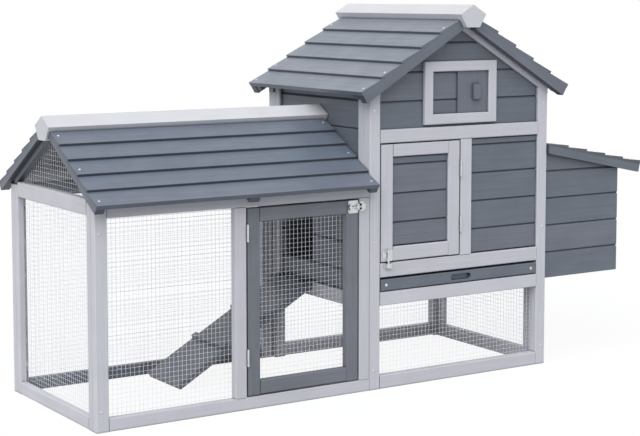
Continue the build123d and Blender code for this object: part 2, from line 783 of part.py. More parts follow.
runner_top = tray_z[0] - metal_clear
with BuildPart() as tray_runners:
    for low_x in (house_left + house_rail + hairline, house_right - house_rail - hairline - runner_wide):
        stick("y", (low_x, low_x + runner_wide), between_y, (runner_top - runner_high, runner_top))
save(tray_runners, "tray_runners")

perch_x = (house_mid_left + house_mid_right) / 2
perch_ends = (front + house_rail + hairline, rear_wall_y[0] - hairline)
with BuildPart() as perch:
    with BuildSketch(Plane.XZ.offset(-perch_ends[1] + slide_gap)):
        with Locations((perch_x, perch_height + perch_size / 2)):
            RectangleRounded(perch_size, perch_size, perch_round)
    extrude(amount=perch_ends[1] - perch_ends[0] - 2 * slide_gap)
save(perch, "perch")

cradle_bottom = perch_height - cradle_wall
cradle_high = cradle_wall + perch_size / 2
cradle_notch = perch_size + hairline
with BuildPart() as perch_cradles:
    for back_y in (perch_ends[0] + cradle_deep, perch_ends[1]):
        with BuildSketch(Plane.XZ.offset(-back_y)):
            with Locations((perch_x, cradle_bottom)):
                Rectangle(cradle_wide, cradle_high, align=(Align.CENTER, Align.MIN))
            with Locations((perch_x, perch_height + perch_size / 2)):
                RectangleRounded(cradle_notch, cradle_notch, perch_round, mode=Mode.SUBTRACT)
        extrude(amount=cradle_deep)
save(perch_cradles, "perch_cradles")

# Nest box: board walls cut to the lid, floor and divider
lid_sine = math.sin(math.radians(lid_pitch))
lid_cosine = math.cos(math.radians(lid_pitch))
lid_tangent = lid_sine / lid_cosine
nest_out = house_right + nest_reach
nest_front = front + nest_inset
nest_rear = rear - nest_inset
lid_origin = house_right + lid_wall_gap
lid_slope = (lid_origin, board_thick * lid_sine, lid_top, lid_pitch, 1)
lid_length = (lid_reach - lid_wall_gap - board_thick * lid_sine) / lid_cosine
lid_under = lid_top - board_thick / lid_cosine


def under_lid(x):
    """Height of the underside of the lid's boards at x, less a hairline."""
    return lid_under - (x - lid_origin - board_thick * lid_sine) * lid_tangent - hairline


nest_in = house_right + hairline
side_outline = [(nest_in, nest_bottom), (nest_out, nest_bottom), (nest_out, under_lid(nest_out)),
                (nest_in, under_lid(nest_in))]
nest_joint = nest_bottom + board_pitch - nest_board_trim
nest_rows = board_rows(nest_bottom, lid_under, nest_joint)
with BuildPart() as nest_side_boards:
    for low_y in (nest_front, nest_rear - nest_wall):
        for bottom, top in nest_rows:
            with BuildSketch(Plane.XZ.offset(-low_y - nest_wall)):
                Polygon(*side_outline, align=None)
                with Locations((house_right + nest_reach / 2, (bottom + top) / 2)):
                    Rectangle(2 * nest_reach, top - bottom, mode=Mode.INTERSECT)
            extrude(amount=nest_wall)
    cut_grooves((house_right, nest_out), nest_front, nest_rows)
    cut_grooves((house_right, nest_out), nest_rear, nest_rows)
save(nest_side_boards, "nest_side_boards")

nest_inner_y = (nest_front + nest_wall + hairline, nest_rear - nest_wall - hairline)
with BuildPart() as nest_end_boards:
    for row in board_rows(nest_bottom, under_lid(nest_out), nest_joint):
        stick("y", (nest_out - nest_wall, nest_out), nest_inner_y, row, board_bevel)
save(nest_end_boards, "nest_end_boards")

nest_inner_right = nest_out - nest_wall - hairline
with BuildPart() as nest_floor:
    with BuildSketch(Plane.XY.offset(nest_bottom)):
        with Locations(((nest_in + nest_inner_right) / 2, 0)):
            Rectangle(nest_inner_right - nest_in, nest_inner_y[1] - nest_inner_y[0])
    extrude(amount=nest_floor_thick)
save(nest_floor, "nest_floor")

divider_low = nest_bottom + nest_floor_thick + hairline
with BuildPart() as nest_divider:
    with BuildSketch(Plane.XZ.offset(-nest_divider_thick / 2)):
        with Locations(((nest_in + nest_inner_right) / 2, divider_low + nest_divider_high / 2)):
            Rectangle(nest_inner_right - nest_in - hairline, nest_divider_high)
        chamfer(vertices().group_by(Axis.Y)[-1].sort_by(Axis.X)[0], nest_divider_cut)
    extrude(amount=nest_divider_thick)
save(nest_divider, "nest_divider")

# Nest lid
lid_y = (nest_front - metal_clear - lid_batten_wide, nest_rear + metal_clear + lid_batten_wide)
with BuildPart() as nest_lid_boards:
    with BuildSketch(Plane.XZ.offset(-lid_y[1])):
        for outline in lapped_profiles(lid_slope, lid_length, lid_boards, -board_thick):
            Polygon(*outline, align=None)
    extrude(amount=lid_y[1] - lid_y[0])
save(nest_lid_boards, "nest_lid_boards")

lid_batten_low = -board_thick - lid_batten_thick
lid_batten = [(lid_batten_thick * lid_tangent, lid_batten_low), (lid_length - slide_gap, lid_batten_low),
              (lid_length - slide_gap, -board_thick), (hairline, -board_thick)]
with BuildPart() as nest_lid_battens:
    for back_y in (lid_y[0] + lid_batten_wide, lid_y[1]):
        with BuildSketch(Plane.XZ.offset(-back_y)):
            Polygon(*[on_slope(lid_slope, down, rise) for down, rise in lid_batten], align=None)
        extrude(amount=lid_batten_wide)
save(nest_lid_battens, "nest_lid_battens")

# Ramp from the ground to the foot of the pop hole
ramp_rear = rear - post - ramp_aside
ramp_y = (ramp_rear - ramp_wide, ramp_rear)
ramp_end = house_left - swing_gap
ramp_sine = math.sin(math.radians(ramp_pitch))
ramp_cosine = math.cos(math.radians(ramp_pitch))
ramp_length = (ramp_top - ramp_thick * ramp_cosine - metal_clear) / ramp_sine
ramp_slope = (ramp_end, 0, ramp_top, ramp_pitch, -1)
ramp_outline = [(ramp_end, ramp_top), on_slope(ramp_slope, ramp_length, 0),
                on_slope(ramp_slope, ramp_length, -ramp_thick),
                (ramp_end, ramp_top - ramp_thick / ramp_cosine)]
with BuildPart() as ramp_board:
    with BuildSketch(Plane.XZ.offset(-ramp_y[1])):
        Polygon(*ramp_outline, align=None)
    extrude(amount=ramp_wide)
save(ramp_board, "ramp_board")

with BuildPart() as ramp_cleats:
    for number in range(cleats):
        middle = cleat_first + number * cleat_step
        cleat = [(middle - cleat_wide / 2, hairline), (middle + cleat_wide / 2, hairline),
                 (middle + cleat_wide / 2 - ease, cleat_high), (middle - cleat_wide / 2 + ease, cleat_high)]
        with BuildSketch(Plane.XZ.offset(-ramp_y[1])):
            Polygon(*[on_slope(ramp_slope, down, rise) for down, rise in cleat], align=None)
        extrude(amount=ramp_wide)
save(ramp_cleats, "ramp_cleats")

# Hinges: one plane across each pin, with the direction and offset of its two leaves
knuckle_out = hinge_knuckle + metal_clear
folded = (door_gap - hinge_leaf) / 2 - pin_clear
run_hinge_x = (mid_stile_right + run_door_left) / 2
house_hinge_x = (house_door_right + house_mid_left) / 2
lid_board_long = lid_length / lid_boards - hairline
lid_board_pitch = lid_pitch - math.degrees(math.atan((board_thick - board_thin) / lid_board_long))
surface = hinge_knuckle - hinge_leaf / 2
lid_hinge_x = house_right + knuckle_out
lid_hinge_z = lid_top - board_thick + board_thin + knuckle_out + metal_clear
ramp_hinge_x = house_left - knuckle_out
ramp_hinge_z = ramp_top + knuckle_out


def upright(x, y, heights):
    """Planes across the pins of upright hinges, from their lower ends."""
    return [Plane((x, y, height), x_dir=(0, 1, 0), z_dir=(0, 0, 1)) for height in heights]


def lying(x, z, lefts):
    """Planes across the pins of hinges that lie along Y, from their front ends, with their X to the right."""
    return [Plane((x, left, z), x_dir=(1, 0, 0), z_dir=(0, 1, 0)) for left in lefts]


def pair_places(span, inset):
    """Front ends of two hinges that stand in by the inset from both ends of a span."""
    return (span[0] + inset, span[1] - inset - hinge_length)


run_hinges = upright(run_hinge_x, front - knuckle_out, run_hinge_heights)
house_hinges = upright(house_hinge_x, front - knuckle_out, house_hinge_heights)
lid_hinges = lying(lid_hinge_x, lid_hinge_z, pair_places(lid_y, lid_hinge_inset))
ramp_hinges = lying(ramp_hinge_x, ramp_hinge_z, pair_places(ramp_y, ramp_hinge_inset))

with BuildPart() as hinge_fixed_leaves:
    for plane in run_hinges:
        hinge_leaf_piece(plane, (0, 2), 0, folded)
    for plane in house_hinges:
        hinge_leaf_piece(plane, (0, 2), 0, -folded)
    for plane in lid_hinges:
        hinge_leaf_piece(plane, (0, 2), -90, -surface)
    for plane in ramp_hinges:
        hinge_leaf_piece(plane, (0, 2), 90, -surface)
save(hinge_fixed_leaves, "hinge_fixed_leaves")

with BuildPart() as run_door_hinge_leaves:
    for plane in run_hinges:
        hinge_leaf_piece(plane, (1,), 0, -folded)
save(run_door_hinge_leaves, "run_door_hinge_leaves")

with BuildPart() as house_door_hinge_leaves:
    for plane in house_hinges:
        hinge_leaf_piece(plane, (1,), 0, folded)
save(house_door_hinge_leaves, "house_door_hinge_leaves")

with BuildPart() as nest_lid_hinge_leaves:
    for plane in lid_hinges:
        hinge_leaf_piece(plane, (1,), lid_board_pitch, surface)
save(nest_lid_hinge_leaves, "nest_lid_hinge_leaves")

with BuildPart() as ramp_hinge_leaves:
    for plane in ramp_hinges:
        hinge_leaf_piece(plane, (1,), 180 - ramp_pitch, -surface)
save(ramp_hinge_leaves, "ramp_hinge_leaves")

with BuildPart() as hinge_pins:
    for plane in run_hinges + house_hinges + lid_hinges + ramp_hinges:
        with BuildSketch(plane):
            RegularPolygon(hinge_pin, hinge_sides)
        extrude(amount=hinge_length)
save(hinge_pins, "hinge_pins")

# Barrel bolts: each has a plane on the door's face with X along the bolt's travel and Z out of the face
strap_place = bolt_plate_length / 2 - bolt_strap / 2 - slide_gap
strap_wide = 2 * (bolt_rod + bolt_strap)
rod_height = bolt_plate_thick + bolt_rod + metal_clear
strap_high = rod_height + bolt_rod + bolt_plate_thick
rod_tip = bolt_plate_length / 2 - metal_clear + bolt_travel
rod_tail = -bolt_plate_length / 2 - slide_gap
knob_rest = bolt_travel / 2


def strap(plane, place, length, bore):
    """Adds a strap over the bolt, square to its travel, with a bore for the rod."""
    start = plane.from_local_coords((place - length / 2, 0, 0))
    across = Plane(start, x_dir=plane.y_dir, z_dir=plane.x_dir)
    with BuildSketch(across) as section:
        with Locations((0, strap_high / 2)):
            Rectangle(strap_wide, strap_high)
        with Locations((0, rod_height)):
            Circle(bore, mode=Mode.SUBTRACT)
    extrude(section.sketch, amount=length, dir=across.z_dir)


def bolt_plate(plane):
    """Adds a bolt's base plate with its two straps."""
    with BuildSketch(plane) as base:
        RectangleRounded(bolt_plate_length, bolt_plate_wide, bolt_strap)
    extrude(base.sketch, amount=bolt_plate_thick, dir=plane.z_dir)
    for place in (-strap_place, strap_place):
        strap(plane, place, bolt_strap, bolt_rod + pin_clear)


def bolt_slide(plane):
    """Adds a bolt's round rod, shot into its keeper, with the finger knob that draws it."""
    tail = plane.from_local_coords((rod_tail, 0, rod_height))
    across = Plane(tail, x_dir=plane.y_dir, z_dir=plane.x_dir)
    with BuildSketch(across) as rod_section:
        Circle(bolt_rod)
    extrude(rod_section.sketch, amount=rod_tip - rod_tail, dir=across.z_dir)
    foot = plane.from_local_coords((knob_rest, 0, rod_height))
    finger = Plane(foot, x_dir=plane.x_dir, z_dir=plane.z_dir)
    with BuildSketch(finger) as knob_section:
        Circle(bolt_knob)
    extrude(knob_section.sketch, amount=bolt_knob_long, dir=plane.z_dir)


run_bolt_z = run_door_top - bolt_plate_wide / 2 - slide_gap
run_bolt = Plane((run_door_right - bolt_plate_length / 2 - slide_gap, front, run_bolt_z),
                 x_dir=(1, 0, 0), z_dir=(0, -1, 0))
house_bolt_x = house_door_left + house_door_stile / 2 + slide_gap
house_bolt = Plane((house_bolt_x, front, house_door_low + bolt_plate_length / 2 + slide_gap),
                   x_dir=(0, 0, -1), z_dir=(0, -1, 0))
keeper_place = bolt_plate_length / 2 + slide_gap + door_gap + keeper_length / 2 + ease

for name, plane in (("run_door", run_bolt), ("house_door", house_bolt)):
    with BuildPart() as plate:
        bolt_plate(plane)
    save(plate, f"{name}_bolt_plate")
    with BuildPart() as rod:
        bolt_slide(plane)
    save(rod, f"{name}_bolt")

with BuildPart() as bolt_keepers:
    for plane in (run_bolt, house_bolt):
        with BuildSketch(plane) as keeper_base:
            with Locations((keeper_place, 0)):
                RectangleRounded(keeper_length, keeper_wide, keeper_round)
        extrude(keeper_base.sketch, amount=bolt_plate_thick, dir=plane.z_dir)
        strap(plane, keeper_place, keeper_length, bolt_rod + metal_clear)
save(bolt_keepers, "bolt_keepers")
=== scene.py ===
"""Looks of a wooden chicken coop: stained boards, painted frames, wire nets, fasteners and a stage."""
import json
import math
import random

import bmesh
import bpy
import numpy as np
from bpy.props import FloatProperty, FloatVectorProperty, PointerProperty
from bpy.types import Operator, Panel, PropertyGroup
from mathutils import Euler, Matrix, Vector
from mathutils.bvhtree import BVHTree
from mathutils.geometry import convex_hull_2d


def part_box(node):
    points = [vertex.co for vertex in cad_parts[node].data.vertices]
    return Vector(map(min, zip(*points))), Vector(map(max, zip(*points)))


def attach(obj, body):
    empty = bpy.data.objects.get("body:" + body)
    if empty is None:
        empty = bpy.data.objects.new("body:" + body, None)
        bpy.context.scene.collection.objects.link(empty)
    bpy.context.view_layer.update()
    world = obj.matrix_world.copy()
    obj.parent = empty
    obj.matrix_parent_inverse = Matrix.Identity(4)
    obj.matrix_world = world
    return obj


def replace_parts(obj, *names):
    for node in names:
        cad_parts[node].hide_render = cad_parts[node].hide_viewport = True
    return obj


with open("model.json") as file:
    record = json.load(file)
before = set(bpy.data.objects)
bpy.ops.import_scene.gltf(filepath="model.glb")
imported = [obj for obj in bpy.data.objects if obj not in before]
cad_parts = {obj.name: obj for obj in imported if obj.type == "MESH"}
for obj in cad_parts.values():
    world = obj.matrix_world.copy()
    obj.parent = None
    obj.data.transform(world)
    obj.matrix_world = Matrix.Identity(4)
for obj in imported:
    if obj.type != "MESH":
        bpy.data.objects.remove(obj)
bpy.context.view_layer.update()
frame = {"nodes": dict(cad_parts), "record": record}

bl_info = {
    "name": "Chicken Coop Looks",
    "version": (1, 0, 0),
    "blender": (4, 5, 0),
    "location": "View3D > Sidebar > Coop",
    "description": "Finishes a small wooden chicken coop: paint, wire nets, screws, staples and stage",
    "category": "Object",
}

MM = 0.001
WHITE = (1.0, 1.0, 1.0, 1.0)
ALONG_X = Vector((1, 0, 0))
UPRIGHT = Vector((0, 0, 1))
# Face attribute with a chance value for each board, the same on all its faces
BOARD = "board"
# Piece with the stiles beside the house's posts, which carry staples like the other timber
STILES = "house_side_stiles"

# Decimal places, in metres, to which corners are compared
PLACE_DIGITS = 5
# Decimal places of a grain direction, and the share along an axis from which it counts as square
DIRECTION_DIGITS = 2
NEARLY_SQUARE = 0.985
# Edges of the small pieces that turn by more than this stay sharp
SHARP_EDGE = math.radians(50)
# Where rays that find a face start, in metres: in front of the coop and over it
IN_FRONT = -1.0
OVERHEAD = 2.0
# Width of the photograph and upright shift of its framing, in pixels
PHOTO_WIDE = 640
PHOTO_SHIFT = -70


def linear(hex_colour):
    """Linear RGBA of an sRGB hex colour."""
    channels = [int(hex_colour[start:start + 2], 16) / 255 for start in (1, 3, 5)]
    curve = [c / 12.92 if c <= 0.04045 else ((c + 0.055) / 1.055) ** 2.4 for c in channels]
    return (*curve, 1.0)


def tinted(colour, shares):
    """The colour with its red, green and blue scaled by three shares."""
    return (*(min(channel * share, 1.0) for channel, share in zip(colour, shares)), 1.0)


def shaded(colour, share):
    """The colour with its light scaled by one share."""
    return tinted(colour, (share, share, share))


def colour_property(name, description, hex_colour):
    """A colour that a user may change."""
    return FloatVectorProperty(name=name, description=description, subtype="COLOR", size=4, min=0, max=1,
                               default=linear(hex_colour))


def length_property(name, description, millimetres):
    """A length that a user may change."""
    return FloatProperty(name=name, description=description, unit="LENGTH", min=0, precision=5,
                         default=millimetres * MM)


# Settings


class CoopFinishes(PropertyGroup):
    """Colours and pattern sizes of the coop's finishes."""
    slate: colour_property("Slate stain", "Stain of the boards, roofs, run door and nest box", "#656c75")
    slate_pale: colour_property("Thin slate stain", "That stain on boards that take less of it", "#6c7079")
    pale: colour_property("Pale paint", "Paint of the frames, posts and rails", "#c6c6cb")
    ridge: colour_property("Ridge paint", "Paint of the two ridge beams", "#cacbce")
    bare: colour_property("Bare fir", "Unpainted timber inside the house", "#b99a76")
    zinc: colour_property("Zinc plating", "Hinges, bolts, screws and staples", "#d8dadd")
    black: colour_property("Black oxide", "Hinges of the ramp", "#3a3d44")
    sheet: colour_property("Galvanised sheet", "Pan of the pull-out tray", "#b4b8bb")
    wire: colour_property("Galvanised wire", "Welded wire of the nets", "#e8eaf1")
    streak_long: length_property("Streak length", "Length of a streak along the grain", 160)
    streak_wide: length_property("Streak width", "Width of a streak, coarse enough to show", 4.5)
    mottle: length_property("Mottle", "Width of the brushed coat's cloudy patches", 70)
    joint: length_property("Joint shade", "How far the shade of a joint reaches", 7)
    arris: length_property("Arris", "Radius of the planed edges of a stick", 1.2)
    relief: length_property("Relief", "Height of the raised grain", 0.5)
    spangle: length_property("Spangle", "Width of the zinc crystals on sheet", 9)
    marks: length_property("Handling marks", "Width of the cloudy marks on stamped steel", 6)
    drops: length_property("Drops", "Length of the uneven stretches of zinc on wire", 25)


class CoopStiles(PropertyGroup):
    """Sizes of the stiles beside the house's posts."""
    wide: length_property("Stile", "Width of a stile at the back", 19)
    front_wide: length_property("Front stile", "Width of the stile at the front, on the right", 29)
    bevel: length_property("Stile bevel", "Width of the planed edges", 1.5)
    gap: length_property("Stile gap", "Hairline between a stile and the timber at its ends or back", 0.2)


class CoopWire(PropertyGroup):
    """Sizes of the welded wire and its staples."""
    cell: length_property("Cell", "Distance between wires", 10.0)
    thick: length_property("Wire", "Thickness of a wire", 0.6)
    weld: length_property("Weld", "How deep crossing wires are pressed into each other", 0.3)
    stray: length_property("Stray", "How far a wire may lie off its place", 0.3)
    staple_step: length_property("Staple step", "Distance between staples along a net's edge", 64)
    staple_wide: length_property("Staple crown", "Width of a staple over its wire", 9)
    staple_thick: length_property("Staple wire", "Thickness of a staple", 1.1)
    staple_inset: length_property("Staple inset", "Distance of a staple from the net's edge", 4)


class CoopScrews(PropertyGroup):
    """Sizes and places of the screws."""
    head: length_property("Screw head", "Radius of a screw head", 2.9)
    plate_head: length_property("Bolt screw head", "Radius of the screws in the bolt plates", 1.7)
    plate_inset: length_property("Bolt screw inset", "Distance of a screw from the plate's edges", 4.2)
    roof_inset: length_property("Roof screw inset", "Distance of a roof screw from the boards' ends", 12)
    post_inset: length_property("Post screw inset", "Distance of a post screw from the corner", 11)
    tray_inset: length_property("Tray screw inset", "Distance of a tray screw from the front's ends", 15)


class CoopStage(PropertyGroup):
    """Floor, light and camera."""
    floor: colour_property("Floor", "Plain pale floor", "#b8babe")
    sky_colour: colour_property("Sky colour", "Tint of the soft light from all round", "#f4f7ff")
    sky: FloatProperty(name="Sky", description="Level of the soft light from all round", min=0,
                       default=0.56)
    sun: FloatProperty(name="Lamp", description="Level of the broad lamp over the front left corner", min=0,
                       default=2.6)
    sun_soft: FloatProperty(name="Lamp width", description="Apparent width of the lamp", subtype="ANGLE",
                            default=math.radians(65))
    lens: FloatProperty(name="Lens", description="Focal length in millimetres", subtype="DISTANCE_CAMERA",
                        default=91.58)
    eye: FloatVectorProperty(name="Camera", description="Place of the camera", subtype="TRANSLATION",
                             unit="LENGTH", size=3, default=(-2.0892, -3.1507, 0.8761))
    yaw: FloatProperty(name="Yaw", description="Turn of the camera to the right", subtype="ANGLE",
                       default=math.radians(32.858))
    pitch: FloatProperty(name="Pitch", description="Tilt of the camera downwards", subtype="ANGLE",
                         default=math.radians(5.324))
    drop: FloatProperty(name="Shift", description="Upright shift of the lens, as a share of the width",
                        default=PHOTO_SHIFT / PHOTO_WIDE)


# Nodes and solids of the frame


def node_slots():
    """The record's material slot of every node of the frame, in a fixed order."""
    return {part["node"]: part["material_slot"] for part in frame["record"]["subparts"]}


def node_body(name):
    """The body that a node of the frame belongs to."""
    bodies = frame["record"]["behaviour"]["bodies"]
    return next(body for body, names in bodies.items() if name in names)


def surface_point(name, start, direction):
    """Where a ray from start meets a node of the frame, and the way that face looks."""
    met, place, normal, _ = frame["nodes"][name].ray_cast(Vector(start), Vector(direction))
    if not met:
        raise RuntimeError(f"no face of {name} lies on the ray from {tuple(start)}")
    return place, normal


def place_of(mesh, index):
    """Place of a corner, rounded so that corners which share a place compare as equal."""
    return tuple(round(value, PLACE_DIGITS) for value in mesh.vertices[index].co)


def separate_solids(mesh):
    """Polygons of each separate solid of a mesh, joined where their corners share a place."""
    parent = list(range(len(mesh.polygons)))
    owner = {}

    def root(number):
        while parent[number] != number:
            number = parent[number]
        return number

    for polygon in mesh.polygons:
        for index in polygon.vertices:
            first = owner.setdefault(place_of(mesh, index), polygon.index)
            parent[root(polygon.index)] = root(first)
    groups = {}
    for polygon in mesh.polygons:
        groups.setdefault(root(polygon.index), []).append(polygon)
    return list(groups.values())


def corners_of(mesh, solid):
    """The corners of a solid, each place once."""
    places = {place_of(mesh, index) for polygon in solid for index in polygon.vertices}
    return np.array(sorted(places))


def length_direction(corners):
    """Unit direction of a stick's length, square to the frame where it nearly is."""
    centred = corners - corners.mean(axis=0)
    direction = np.linalg.eigh(centred.T @ centred)[1][:, -1]
    longest = int(np.argmax(np.abs(direction)))
    if abs(direction[longest]) > NEARLY_SQUARE:
        direction = np.eye(3)[longest]
    direction = np.round(direction * np.sign(direction[longest]), DIRECTION_DIGITS)
    # Adding zero turns minus zero into zero, which keeps the materials' names alike
    return Vector(direction + 0.0).normalized()


# Nodes and materials

# Sockets of a Map Range node, in order
RANGE = ("Value", "From Min", "From Max", "To Min", "To Max")
# Values that the noise of a coat mostly lies between, and that of handling marks
COAT_NOISE = (0.35, 0.65)
MARK_NOISE = (0.3, 0.7)
# How far, in metres, a board with a chance value of 1 moves its grain along each axis
GRAIN_START = (3.1, 5.3, 7.9)
# Share of the cloudy patches in the tone of a coat, next to the streaks
CLOUD_SHARE = 0.4
# Share of open sky deep in a joint and out of it, and the share of light that the painted shade of a joint
# keeps
JOINT_SKY = (0.4, 0.85)
JOINT_LIGHT = 0.45
# Share of a face's normal that lies along the grain, from planed sides to sawn ends
SAWN_END = (0.6, 0.8)
# Upward share of a face's normal, from undersides, which take painted shade, to the other sides
UNDERSIDE = (-0.6, -0.4)
# How far the roughness of a coat varies with its tone
SHEEN = 0.06


def node(tree, kind, inputs=(), **settings):
    """Adds a shader node with its settings, each input a value or another node's socket."""
    added = tree.nodes.new(kind)
    for name, value in settings.items():
        setattr(added, name, value)
    for name, value in dict(inputs).items():
        if isinstance(value, bpy.types.NodeSocket):
            tree.links.new(value, added.inputs[name])
        else:
            added.inputs[name].default_value = value
    return added


def empty_material(name):
    """A material with no nodes yet, and its node tree."""
    material = bpy.data.materials.new(name)
    material.use_nodes = True
    material.node_tree.nodes.clear()
    return material, material.node_tree


def coated_fir(name, coats, along, contrast, roughness, ends=1.0, under=1.0):
    """Sawn fir under a thin brushed coat.

    The saw and the raised grain show through the coat as soft streaks along each stick, the brush leaves
    cloudy patches, every board takes the coat a little differently, and painted shade, with some dirt,
    darkens the joints. The open pores of sawn ends may drink more of the coat, and undersides take painted
    shade: ends and under are the shares of light that they keep.
    """
    finishes = bpy.context.scene.coop_finishes
    material, tree = empty_material(name)
    place = node(tree, "ShaderNodeTexCoord")
    board = node(tree, "ShaderNodeAttribute", attribute_name=BOARD).outputs["Fac"]
    # Each board starts its grain elsewhere, so that boards side by side don't run on
    start = node(tree, "ShaderNodeVectorMath", {0: board, 1: GRAIN_START}, operation="MULTIPLY")
    turn = ALONG_X.rotation_difference(along).to_euler()
    grain = node(tree, "ShaderNodeMapping",
                 {"Vector": place.outputs["Object"], "Location": start.outputs[0], "Rotation": turn,
                  "Scale": (finishes.streak_long, finishes.streak_wide, finishes.streak_wide)},
                 vector_type="TEXTURE")
    streaks = node(tree, "ShaderNodeTexNoise",
                   {"Vector": grain.outputs[0], "Scale": 1.0, "Detail": 3.0, "Roughness": 0.6})
    clouds = node(tree, "ShaderNodeTexNoise",
                  {"Vector": place.outputs["Object"], "Scale": 1 / finishes.mottle, "Detail": 2.0})
    tone = node(tree, "ShaderNodeMix",
                {"Factor": CLOUD_SHARE, "A": streaks.outputs[0], "B": clouds.outputs[0]}).outputs["Result"]
    depth = node(tree, "ShaderNodeMapRange", zip(RANGE, (tone, *COAT_NOISE, 1 - contrast, 1 + contrast)))
    # Painted shade, and some dirt, in the joints between boards: the less open sky, the darker
    joint = node(tree, "ShaderNodeAmbientOcclusion", {"Distance": finishes.joint}, samples=6)
    joint_shade_and_dust = node(tree, "ShaderNodeMapRange",
                zip(RANGE, (joint.outputs["AO"], *JOINT_SKY, JOINT_LIGHT, 1.0)))
    # Sawn ends look along the grain, either way
    slant = node(tree, "ShaderNodeVectorMath", {0: place.outputs["Normal"], 1: along},
                 operation="DOT_PRODUCT")
    square = node(tree, "ShaderNodeMath", {0: slant.outputs["Value"]}, operation="ABSOLUTE")
    sawn = node(tree, "ShaderNodeMapRange", zip(RANGE, (square.outputs[0], *SAWN_END, 1.0, ends)))
    # Painted shade: undersides, which look down, are darker
    facing = node(tree, "ShaderNodeSeparateXYZ", {"Vector": place.outputs["Normal"]})
    underside_shade = node(tree, "ShaderNodeMapRange", zip(RANGE, (facing.outputs["Z"], *UNDERSIDE, under, 1.0)))
    level = depth
    for share in (joint_shade_and_dust, sawn, underside_shade):
        level = node(tree, "ShaderNodeMath", {0: level.outputs[0], 1: share.outputs[0]},
                     operation="MULTIPLY")
    coat = node(tree, "ShaderNodeMix", {"Factor": board, "A": coats[0], "B": coats[1]}, data_type="RGBA")
    colour = node(tree, "ShaderNodeVectorMath", {0: coat.outputs["Result"], "Scale": level.outputs[0]},
                  operation="SCALE")
    rough = node(tree, "ShaderNodeMapRange",
                 zip(RANGE, (tone, *COAT_NOISE, roughness + SHEEN, roughness - SHEEN)))
    # Planed arrises are a little round
    arris = node(tree, "ShaderNodeBevel", {"Radius": finishes.arris}, samples=4)
    relief = node(tree, "ShaderNodeBump",
                  {"Height": streaks.outputs[0], "Strength": 0.3, "Distance": finishes.relief,
                   "Normal": arris.outputs[0]})
    shader = node(tree, "ShaderNodeBsdfPrincipled",
                  {"Base Color": colour.outputs[0], "Roughness": rough.outputs[0], "IOR": 1.47,
                   "Normal": relief.outputs[0]})
    node(tree, "ShaderNodeOutputMaterial", {"Surface": shader.outputs[0]})
    return material


def slate_stained_fir(name, along, shares):
    """Opaque blue-grey wood stain with a dull sheen, greener or thinner from board to board.

    It is dark on sawn ends, and painted shade darkens its undersides. The shares scale its red, green and
    blue.
    """
    finishes = bpy.context.scene.coop_finishes
    coats = [tinted(coat, shares) for coat in (finishes.slate, finishes.slate_pale)]
    return coated_fir(name, coats, along, contrast=0.1, roughness=0.44, ends=0.72, under=0.5)


def pale_painted_fir(name, along):
    """Pale grey wood paint with a dull sheen."""
    pale = bpy.context.scene.coop_finishes.pale
    return coated_fir(name, (shaded(pale, 0.97), shaded(pale, 1.03)), along, contrast=0.05, roughness=0.44)


def ridge_painted_fir(name, along):
    """The palest grey paint, on the planed ridge beams."""
    ridge = bpy.context.scene.coop_finishes.ridge
    return coated_fir(name, (ridge, ridge), along, contrast=0.04, roughness=0.44)


def bare_fir(name, along):
    """Unpainted fir: warm, with its growth lines plain to see."""
    bare = bpy.context.scene.coop_finishes.bare
    return coated_fir(name, (shaded(bare, 0.9), shaded(bare, 1.1)), along, contrast=0.2, roughness=0.6)


def galvanised_sheet(name):
    """Folded steel sheet with a hot zinc coat, whose crystals show as a dull spangle."""
    finishes = bpy.context.scene.coop_finishes
    material, tree = empty_material(name)
    place = node(tree, "ShaderNodeTexCoord")
    crystals = node(tree, "ShaderNodeTexVoronoi",
                    {"Vector": place.outputs["Object"], "Scale": 1 / finishes.spangle, "Randomness": 1.0})
    shade = node(tree, "ShaderNodeSeparateColor", {"Color": crystals.outputs["Color"]})
    colour = node(tree, "ShaderNodeMix",
                  {"Factor": shade.outputs["Red"], "A": shaded(finishes.sheet, 0.8),
                   "B": shaded(finishes.sheet, 1.1)}, data_type="RGBA")
    rough = node(tree, "ShaderNodeMapRange", zip(RANGE, (shade.outputs["Green"], 0.0, 1.0, 0.34, 0.52)))
    shader = node(tree, "ShaderNodeBsdfPrincipled",
                  {"Base Color": colour.outputs["Result"], "Metallic": 1.0, "Roughness": rough.outputs[0]})
    node(tree, "ShaderNodeOutputMaterial", {"Surface": shader.outputs[0]})
    return material


def stamped_steel(name, colour, shares, metallic, roughness):
    """Stamped steel under a thin coat with faint cloudy handling marks.

    From mark to mark the colour runs between two shares of its light, and the roughness between two
    values.
    """
    finishes = bpy.context.scene.coop_finishes
    material, tree = empty_material(name)
    place = node(tree, "ShaderNodeTexCoord")
    marks = node(tree, "ShaderNodeTexNoise",
                 {"Vector": place.outputs["Object"], "Scale": 1 / finishes.marks, "Detail": 3.0})
    coat = node(tree, "ShaderNodeMix",
                {"Factor": marks.outputs[0], "A": shaded(colour, shares[0]), "B": shaded(colour, shares[1])},
                data_type="RGBA")
    rough = node(tree, "ShaderNodeMapRange", zip(RANGE, (marks.outputs[0], *MARK_NOISE, *roughness)))
    shader = node(tree, "ShaderNodeBsdfPrincipled",
                  {"Base Color": coat.outputs["Result"], "Metallic": metallic,
                   "Roughness": rough.outputs[0]})
    node(tree, "ShaderNodeOutputMaterial", {"Surface": shader.outputs[0]})
    return material


def zinc_plated_steel(name):
    """Bright zinc plate on stamped steel: near white."""
    zinc = bpy.context.scene.coop_finishes.zinc
    return stamped_steel(name, zinc, shares=(0.7, 1.15), metallic=1.0, roughness=(0.24, 0.4))


def blackened_steel(name):
    """Stamped steel with a black oxide coat: dark and satin, with faint grey rubs."""
    black = bpy.context.scene.coop_finishes.black
    return stamped_steel(name, black, shares=(0.7, 1.5), metallic=0.6, roughness=(0.55, 0.4))


